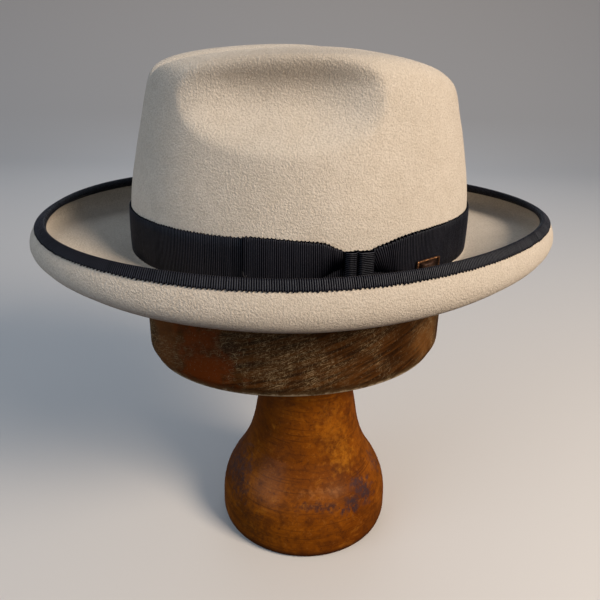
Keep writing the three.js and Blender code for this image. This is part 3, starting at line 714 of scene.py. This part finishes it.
def bow_knot():
    """The wrap round the middle of the bow, in two upright folds with ribs across it."""
    inner = RIBBON["thickness"] + 2 * GAP + WING_BACK["thick"][0] * 1.1
    along = np.linspace(-1, 1, 61)[None, :]
    out = eased(along, KNOT_FOLDS["along"], KNOT_FOLDS["out"])
    top = mix(KNOT["top_front"], KNOT["top_back"], (along + 1) / 2)
    length = KNOT["top_front"] - KNOT["bottom"]
    samples = np.arange(round(length / RIB["knot"]) * KNOT_SAMPLES + 1)[:, None]
    up = samples / samples[-1]
    wave = 0.5 - 0.5 * np.cos(2 * math.pi * samples / KNOT_SAMPLES)
    away = np.minimum(up, 1 - up) * length / KNOT["soft"]
    level = 0.4 + 0.6 * np.sqrt(np.clip(1 - (1 - np.clip(away, 0, 1)) ** 2, 0, 1))
    stand = out * level * KNOT["height"] + RIB_HEIGHT["knot"] * (wave - 0.5) * smooth(away, 0, 0.3)
    height = mix(KNOT["bottom"], top, up)
    angles = angle_along(along * KNOT["half"])
    face = band_point(angles, height, inner + stand)
    back = band_point(angles, height, inner + 0 * stand)[:, ::-1]
    grid = np.concatenate([face, back], axis=1)
    # Painted shade in the grooves between the knot's ribs
    rib_and_shade = np.broadcast_to(wave, grid.shape[:2])
    return closed_strip("bow_knot_folds", grid, ["bow_knot"], rib_and_shade)


def badge_place():
    """Middle, direction along the band and outward direction of the badge."""
    def at(along):
        thick = np.interp(along, WING_BACK["along"], WING_BACK["thick"])
        middle_height = BADGE["bottom"] + BADGE["height"] / 2
        return band_point(angle_along(along), middle_height, RIBBON["thickness"] + GAP + 1.1 * thick)

    along = unit(at(BADGE["along"] + BADGE["width"] / 2) - at(BADGE["along"] - BADGE["width"] / 2))
    along = unit(np.array([along[0], along[1], 0.0]))
    out = np.array([along[1], -along[0], 0.0])
    return at(BADGE["along"]) + out * GAP, along, out


def band_badge():
    """A framed plate with rounded corners, as one loop for each point of the frame's section."""
    middle, along, out = badge_place()
    up = np.array([0.0, 0.0, 1.0])
    field = BADGE["depth"] - BADGE["recess"]
    steps = BADGE_FRAME["step"] + [BADGE["frame"] - 0.1, BADGE["frame"]]
    heights = BADGE_FRAME["height"] + [field + 0.02, field]
    quarter = np.repeat(np.arange(4), 7)
    turn = math.pi / 2 * (quarter + np.tile(np.arange(7) / 6, 4))
    side_x, side_y = np.array([1, -1, -1, 1])[quarter], np.array([1, 1, -1, -1])[quarter]
    loops = []
    for step_in, height in zip(steps, heights):
        radius = max(BADGE["corner"] - step_in, BADGE["inner_corner"])
        x = side_x * (BADGE["width"] / 2 - step_in - radius) + radius * np.cos(turn)
        y = side_y * (BADGE["height"] / 2 - step_in - radius) + radius * np.sin(turn)
        loops.append(middle + along * x[:, None] + up * y[:, None] + out * height)
    return closed_strip("badge_plate", np.array(loops), ["band_badge"])


def hat_block():
    angle = round_angles(BLOCK_STEPS)[0]
    bottom, start, crest = BLOCK["bottom"], BLOCK["dome_start"], BLOCK["dome_top"]

    def loop(step_in, scale, z):
        x = (BLOCK["half_width"] - step_in) * scale * np.sin(angle)
        y = BLOCK["centre_y"] - (BLOCK["half_length"] - step_in) * scale * np.cos(angle)
        return stack(x, y, z)

    rows = [stack(0 * angle, BLOCK["centre_y"], bottom)]
    for step_in, rise in zip(*columns(BLOCK_EDGE)):
        rows.append(loop(step_in, 1, bottom + rise))
    for z in np.arange(bottom + 11, start, BLOCK_ROWS["spacing"]):
        rows.append(loop(0, 1, z))
    for turn in np.linspace(0, math.pi / 2, BLOCK_ROWS["dome"]):
        rise = math.sin(turn) ** (2 / BLOCK["dome_shape"])
        scale = max(math.cos(turn), 1e-4) ** (2 / BLOCK["dome_shape"])
        rows.append(loop(0, scale, mix(start, crest, rise)))
    return turned_body("wooden_block", np.array(rows), ["hat_block"])


def stand_foot():
    angle = round_angles(FOOT_STEPS)
    height = np.concatenate([
        [0, 0.25, 0.8, FOOT_EDGE["up"]], np.arange(3, FOOT_HEIGHT - 1, FOOT_ROW),
        [FOOT_HEIGHT - 0.4, FOOT_HEIGHT],
    ])
    radius = eased(height, FOOT_PROFILE["height"], FOOT_PROFILE["radius"])
    radius = radius - FOOT_EDGE["step"] * np.clip(1 - height / FOOT_EDGE["up"], 0, 1) ** 2
    for z, depth, width in zip(*columns(TURNING_LINES)):
        radius = radius - depth * np.exp(-(((height - z) / width) ** 2))
    radius = np.concatenate([[0], radius, [0]])[:, None]
    height = np.concatenate([[0], height, [FOOT_HEIGHT]])[:, None]
    grid = stack(radius * np.sin(angle), -radius * np.cos(angle), height)
    return turned_body("turned_foot", grid, ["stand_foot"])


class Shader:
    """A material under construction, with short calls for its nodes."""

    def __init__(self, name):
        self.material = bpy.data.materials.new(name)
        self.material.use_nodes = True
        self.tree = self.material.node_tree
        self.tree.nodes.clear()

    def node(self, kind, inputs=None, **settings):
        made = self.tree.nodes.new("ShaderNode" + kind)
        for key, value in settings.items():
            setattr(made, key, value)
        for key, value in (inputs or {}).items():
            if isinstance(value, bpy.types.NodeSocket):
                self.tree.links.new(value, made.inputs[key])
            else:
                made.inputs[key].default_value = value
        return made

    def place(self, scale=(1, 1, 1), shift=(0, 0, 0)):
        coordinates = self.node("TexCoord").outputs["Object"]
        return self.node("Mapping", {"Vector": coordinates, "Scale": scale, "Location": shift}).outputs[0]

    def noise(self, scale, detail=2.0, rough=0.5, vector=None, distortion=0.0):
        inputs = {"Scale": scale, "Detail": detail, "Roughness": rough, "Distortion": distortion}
        inputs["Vector"] = self.place() if vector is None else vector
        return self.node("TexNoise", inputs).outputs[0]

    def ramp(self, value, low, high, start=0.0, end=1.0):
        made = self.node("MapRange", {0: value, 1: low, 2: high, 3: start, 4: end})
        made.interpolation_type = "SMOOTHSTEP"
        return made.outputs[0]

    def maths(self, operation, a, b=0.0):
        return self.node("Math", {0: a, 1: b}, operation=operation).outputs[0]

    def times(self, a, b):
        return self.maths("MULTIPLY", a, b)

    def blend(self, share, a, b):
        made = self.node("Mix", data_type="RGBA", blend_type="MIX")
        for key, value in ((0, share), (6, a), (7, b)):
            if isinstance(value, bpy.types.NodeSocket):
                self.tree.links.new(value, made.inputs[key])
            else:
                made.inputs[key].default_value = (*value, 1) if isinstance(value, tuple) else value
        return made.outputs[2]

    def vector(self, operation, a, b):
        return self.node("VectorMath", {0: a, 1: b}, operation=operation).outputs[0]

    def height(self):
        return self.node("SeparateXYZ", {0: self.place()}).outputs[2]

    def ragged_height(self, fineness, reach):
        return self.maths("ADD", self.height(), self.times(self.noise(fineness, 4, 0.7), reach))

    def unrolled(self, radius, turn=0.0, long=1.0, wide=1.0):
        """The surface of an upright cylinder as a flat sheet, turned, and measured in strokes."""
        split = self.node("SeparateXYZ", {0: self.place()}).outputs
        around = self.times(self.maths("ARCTAN2", split[1], split[0]), radius)
        sheet = self.node("CombineXYZ", {0: around, 1: split[2]}).outputs[0]
        turned = self.node("VectorRotate", {"Vector": sheet, "Angle": -turn}, rotation_type="Z_AXIS")
        return self.vector("DIVIDE", turned.outputs[0], (long, wide, 1.0))

    def strokes(self, radius, turn, long, wide, strength, start, end):
        """Short thin marks of a length and a width in metres, all lying one way."""
        marks = self.noise(1.0, 1, 0.5, self.unrolled(radius, turn, long, wide))
        return self.ramp(marks, start, end, 0, strength)

    def spot(self, place, size, strength=1.0, ragged=0.6, fineness=90):
        """A ragged spot round a point, fading out at its size, for stains and for painted shade, reflection,
        sheen and highlights.
        """
        noise = self.node("TexNoise", {"Vector": self.place(), "Scale": fineness, "Detail": 4.0})
        shifted = self.vector("SUBTRACT", noise.outputs[1], (0.5, 0.5, 0.5))
        wobble = self.vector("MULTIPLY", shifted, tuple(2 * ragged * v for v in size))
        away = self.vector("SUBTRACT", self.vector("ADD", self.place(), wobble), place)
        far = self.node("VectorMath", {0: self.vector("DIVIDE", away, size)}, operation="LENGTH").outputs[1]
        return self.ramp(far, 1.15, 0.35, 0, strength)

    def finish(self, bump=None, **inputs):
        """Ends in the surface shader, with a bump of a height, a distance in metres and a strength."""
        shader = self.node("BsdfPrincipled", inputs={k.replace("_", " "): v for k, v in inputs.items()})
        if bump is not None:
            height, distance, strength = bump
            made = self.node("Bump", {"Height": height, "Distance": distance, "Strength": strength})
            self.tree.links.new(made.outputs[0], shader.inputs["Normal"])
        out = self.node("OutputMaterial")
        self.tree.links.new(shader.outputs[0], out.inputs[0])
        return self.material


def felt_material():
    s, colours = Shader("felt_nap"), FELT_COLOURS
    slow = s.noise(14, 2, 0.5)
    cloud = s.noise(120, 3, 0.55)
    grain = s.noise(980, 3, 0.6, distortion=0.3)
    colour = s.blend(s.ramp(slow, 0.35, 0.65), colours["cool"], colours["warm"])
    colour = s.blend(s.ramp(cloud, 0.35, 0.7, 0, 0.7), colour, colours["cloud"])
    # Painted shade: the nap's colour darkens in a soft spot over the upper lip of each dent, on both sides
    x, y, z = DENT_LIP_PAINTED_SHADE["place"]
    for side in (-1, 1):
        painted_lip_shade = s.spot(**{**DENT_LIP_PAINTED_SHADE, "place": (x * side, y, z)})
        colour = s.blend(painted_lip_shade, colour, colours["painted_dent_lip_shade"])
    colour = s.blend(s.ramp(grain, 0.52, 0.34, 0.0, 0.36), colour, colours["dark_hair"])
    colour = s.blend(s.ramp(grain, 0.52, 0.68, 0.0, 0.3), colour, colours["pale_hair"])
    return s.finish(
        (grain, 0.0013, 0.7), Base_Color=colour, Roughness=0.95, Sheen_Weight=0.15,
        Sheen_Roughness=0.6, Sheen_Tint=(0.95, 0.88, 0.78, 1), Specular_IOR_Level=0.1,
    )


def grosgrain_material():
    s, colours = Shader("grosgrain_weave"), GROSGRAIN_COLOURS
    # The ribbon's attribute is 1 on the rib tops and falls to 0 where shade is painted: in the grooves
    # between ribs, along the fold at each end of the bow and in the gather by the knot
    rib_and_shade = s.node("Attribute", attribute_name="rib_and_shade").outputs["Fac"]
    slow = s.noise(45, 3, 0.5)
    fine = s.noise(1500, 2, 0.6)
    ridge = s.blend(s.ramp(slow, 0.35, 0.65), colours["ridge"], colours["worn_ridge"])
    ridge = s.blend(s.ramp(fine, 0.45, 0.75, 0, 0.5), ridge, colours["fibre"])
    return s.finish(
        (fine, 0.00015, 0.6), Base_Color=s.blend(s.ramp(rib_and_shade, 0.45, 1.0), colours["groove"], ridge),
        Roughness=0.5, Specular_IOR_Level=s.ramp(rib_and_shade, 0.5, 1.0, 0.0, 0.38),
        Specular_Tint=(0.78, 0.88, 1.0, 1),
    )


def thread_material():
    s = Shader("pale_thread")
    twist = s.noise(3000, 2, 0.5)
    colour = s.blend(s.ramp(twist, 0.35, 0.65), THREAD_COLOURS["dark"], THREAD_COLOURS["pale"])
    return s.finish((twist, 0.0001, 0.5), Base_Color=colour, Roughness=0.8, Specular_IOR_Level=0.2)


def metal_material():
    s, colours = Shader("aged_copper"), METAL_COLOURS
    middle, _, out = badge_place()
    grain = s.noise(900, 3, 0.6)
    place = s.vector("SUBTRACT", s.place(), tuple(middle * MM))
    depth = s.node("VectorMath", {0: place, 1: tuple(out)}, operation="DOT_PRODUCT").outputs[1]
    field = s.blend(s.ramp(grain, 0.35, 0.65), colours["dark_field"], colours["pale_field"])
    raised = s.blend(s.ramp(grain, 0.4, 0.65), colours["dark_frame"], colours["pale_frame"])
    return s.finish(
        (grain, 0.00008, 0.4), Base_Color=s.blend(s.ramp(depth, 0.00085, 0.00105), field, raised),
        Roughness=s.ramp(grain, 0.3, 0.7, 0.28, 0.5), Metallic=s.ramp(depth, 0.0008, 0.001, 0.3, 1.0),
    )


def block_material():
    s, colours = Shader("worn_dark_wood"), BLOCK_COLOURS
    grain = s.noise(1.0, 4, 0.65, s.unrolled(BLOCK_RADIUS, 0.28, 0.030, 0.0022))
    patina = s.noise(26, 5, 0.72, distortion=0.6)
    patches = s.noise(17, 3, 0.6, s.place(shift=(0.4, 0.1, 0.0)))
    speck = s.noise(900, 2, 0.6)
    colour = s.blend(s.ramp(grain, 0.35, 0.65), colours["dark_grain"], colours["pale_grain"])
    bare = s.spot(**BARE_PATCH)
    red = s.blend(s.ramp(patina, 0.46, 0.66, 0, 0.75), colours["red"], colours["dark_red"])
    colour = s.blend(bare, colour, red)
    # Painted warm reflection on the block's back end
    colour = s.blend(s.spot(**WARM_PAINTED_REFLECTION), colour, colours["painted_warm_reflection"])
    colour = s.blend(s.spot(**DARK_PATCH), colour, colours["dark_patch"])
    dusty = s.times(s.ramp(patina, 0.40, 0.62), s.maths("SUBTRACT", 1.0, s.times(bare, 0.92)))
    colour = s.blend(s.times(dusty, 0.16), colour, colours["dust"])
    for scratch in SCRATCHES:
        lines = s.strokes(BLOCK_RADIUS, *scratch, 0.62, 0.68)
        colour = s.blend(s.times(lines, dusty), colour, colours["scratch"])
    few = s.strokes(BLOCK_RADIUS, *PALE_SCRATCH, 0.70, 0.76)
    colour = s.blend(s.times(few, s.ramp(patches, 0.45, 0.6)), colour, colours["pale_scratch"])
    # Painted sheen on the block's front end, over the dust and scratches
    colour = s.blend(s.spot(**FRONT_PAINTED_SHEEN), colour, colours["painted_front_sheen"])
    ragged = s.ragged_height(160, 0.009)
    colour = s.blend(s.ramp(ragged, 0.1510, 0.1450, 0, 0.6), colour, colours["worn_edge"])
    colour = s.blend(s.ramp(ragged, 0.1472, 0.1452, 0, 0.75), colour, colours["bare_edge"])
    colour = s.blend(s.ramp(speck, 0.62, 0.72, 0, 0.35), colour, colours["speck"])
    relief = s.maths("ADD", s.times(grain, 0.6), s.times(speck, 0.3))
    return s.finish(
        (relief, 0.0003, 0.5), Base_Color=colour, Roughness=s.ramp(patina, 0.35, 0.65, 0.42, 0.72),
        Specular_IOR_Level=0.14, Specular_Tint=(1.0, 0.8, 0.55, 1),
    )


def foot_material():
    s, colours = Shader("varnished_wood"), FOOT_COLOURS
    cloud = s.noise(16, 4, 0.6, s.place(scale=(1, 1, 0.7)))
    mottle = s.noise(75, 5, 0.7, s.place(scale=(1, 1, 1.5)), distortion=0.5)
    grit = s.noise(420, 3, 0.65)
    turned = s.noise(1.0, 3, 0.6, s.unrolled(FOOT_RADIUS, 0.0, 0.05, 0.0011))
    colour = s.blend(s.ramp(cloud, 0.35, 0.65), colours["dark_cloud"], colours["pale_cloud"])
    colour = s.blend(s.ramp(mottle, 0.42, 0.66, 0, 0.75), colour, colours["dark_mottle"])
    colour = s.blend(s.ramp(mottle, 0.44, 0.30, 0, 0.6), colour, colours["pale_mottle"])
    colour = s.blend(s.ramp(turned, 0.54, 0.68, 0, 0.6), colour, colours["turned"])
    # Darker towards the top of the neck: partly a deeper red in the wood, partly painted shade under the
    # block
    colour = s.blend(s.ramp(s.height(), 0.108, 0.140, 0, 0.6), colour, colours["neck"])
    broken = s.ramp(s.noise(310, 4, 0.7), 0.38, 0.58, 0.25, 1.0)
    # Stains, with a painted reflection and painted highlights among them
    for place, size, strength, tint in STAINS_AND_PAINTED_LIGHT:
        mark = s.spot(place, size, strength, **MARK_EDGE)
        colour = s.blend(s.times(mark, broken), colour, tint)
    colour = s.blend(s.ramp(grit, 0.55, 0.70, 0, 0.5), colour, colours["grit"])
    colour = s.blend(s.ramp(grit, 0.42, 0.30, 0, 0.22), colour, colours["pale_grit"])
    colour = s.blend(s.ramp(s.ragged_height(120, 0.006), 0.0105, 0.0040, 0, 0.85), colour, colours["rim"])
    relief = s.maths("ADD", s.times(mottle, 0.6), s.times(turned, 0.5))
    return s.finish(
        (relief, 0.0004, 0.25), Base_Color=colour, Roughness=s.ramp(mottle, 0.3, 0.7, 0.30, 0.44),
        Specular_IOR_Level=0.12, Specular_Tint=(1.0, 0.75, 0.45, 1), Coat_Weight=0.12, Coat_Roughness=0.24,
    )


def in_scene(name, data):
    made = bpy.data.objects.new(name, data)
    bpy.context.scene.collection.objects.link(made)
    return made


def add_camera():
    yaw, pitch, roll = CAMERA["yaw"], CAMERA["pitch"], CAMERA["roll"]
    forward = Vector((
        -math.cos(yaw) * math.cos(pitch), math.sin(yaw) * math.cos(pitch), math.sin(pitch)
    ))
    right = Vector((math.sin(yaw), math.cos(yaw), 0))
    above = right.cross(forward)
    tilted = math.cos(roll) * right + math.sin(roll) * above
    upright = -math.sin(roll) * right + math.cos(roll) * above
    lens = bpy.data.cameras.new("camera")
    lens.sensor_width = CAMERA["sensor"]
    lens.lens = CAMERA["lens"]
    lens.clip_start = 0.01
    matrix = Matrix((tilted, upright, -forward)).transposed().to_4x4()
    matrix.translation = Vector(CAMERA["place"])
    made = in_scene("camera", lens)
    made.matrix_world = matrix
    bpy.context.scene.camera = made


def add_lights():
    for name, row in LIGHTS.items():
        lamp = bpy.data.lights.new(name, "AREA")
        lamp.size = row["size"]
        lamp.energy = row["power"]
        lamp.color = row["colour"]
        made = in_scene(name, lamp)
        made.location = row["place"]
        aim = Vector(LIGHT_AIM) - Vector(row["place"])
        made.rotation_euler = aim.to_track_quat("-Z", "Y").to_euler()


def add_sky():
    world = bpy.data.worlds.new("studio")
    world.use_nodes = True
    nodes, links = world.node_tree.nodes, world.node_tree.links
    direction = nodes.new("ShaderNodeTexCoord")
    height = nodes.new("ShaderNodeSeparateXYZ")
    ramp = nodes.new("ShaderNodeValToRGB")
    shift = nodes.new("ShaderNodeMapRange")
    shift.inputs[1].default_value = -1.0
    links.new(direction.outputs["Generated"], height.inputs[0])
    links.new(height.outputs[2], shift.inputs[0])
    links.new(shift.outputs[0], ramp.inputs[0])
    for step, (place, colour) in enumerate(SKY):
        stop = ramp.color_ramp.elements[step] if step < 2 else ramp.color_ramp.elements.new(place)
        stop.position = place
        stop.color = (*colour, 1)
    links.new(ramp.outputs[0], nodes["Background"].inputs[0])
    bpy.context.scene.world = world


def add_floor():
    """A pale floor that sweeps up behind the hat, kept out of the light that falls on the hat."""
    turn = np.linspace(0, math.pi / 2, 24)
    behind, radius, wide = FLOOR["behind"], FLOOR["sweep"], FLOOR["half_width"]
    away = np.concatenate([[-FLOOR["before"]], behind + radius * np.sin(turn), [behind + radius]])
    height = np.concatenate([[0], radius * (1 - np.cos(turn)), [FLOOR["wall"]]]) - FLOOR["below"]
    facing = Vector((-math.cos(CAMERA["yaw"]), math.sin(CAMERA["yaw"]), 0))
    side = Vector((facing.y, -facing.x, 0))
    points = [
        tuple(facing * a + side * w + Vector((0, 0, h))) for a, h in zip(away, height) for w in (-wide, wide)
    ]
    faces = [(k, k + 1, k + 3, k + 2) for k in range(0, len(points) - 2, 2)]
    mesh = bpy.data.meshes.new("floor")
    mesh.from_pydata(points, [], faces)
    mesh.polygons.foreach_set("use_smooth", [True] * len(faces))
    made = in_scene("floor", mesh)
    s = Shader("floor")
    mesh.materials.append(s.finish(Base_Color=(0.66, 0.65, 0.64, 1), Roughness=0.8, Specular_IOR_Level=0.1))
    made.visible_diffuse = False
    made.visible_glossy = False


def dressed(piece, material):
    piece.data.materials.append(material)


felt, grosgrain, metal = felt_material(), grosgrain_material(), metal_material()
dressed(felt_body(), felt)
dressed(brim_binding(), grosgrain)
dressed(ribbon_band(), grosgrain)
dressed(bow_wing("bow_loop_front", "bow_wing_front", WING_FRONT, -1, 21), grosgrain)
dressed(bow_wing("bow_loop_back", "bow_wing_back", WING_BACK, 1, 22), grosgrain)
dressed(bow_knot(), grosgrain)
dressed(bow_stitch(), thread_material())
dressed(band_badge(), metal)
dressed(hat_block(), block_material())
dressed(stand_foot(), foot_material())

add_camera()
add_lights()
add_sky()
add_floor()
bpy.context.scene.view_settings.view_transform = "Standard"
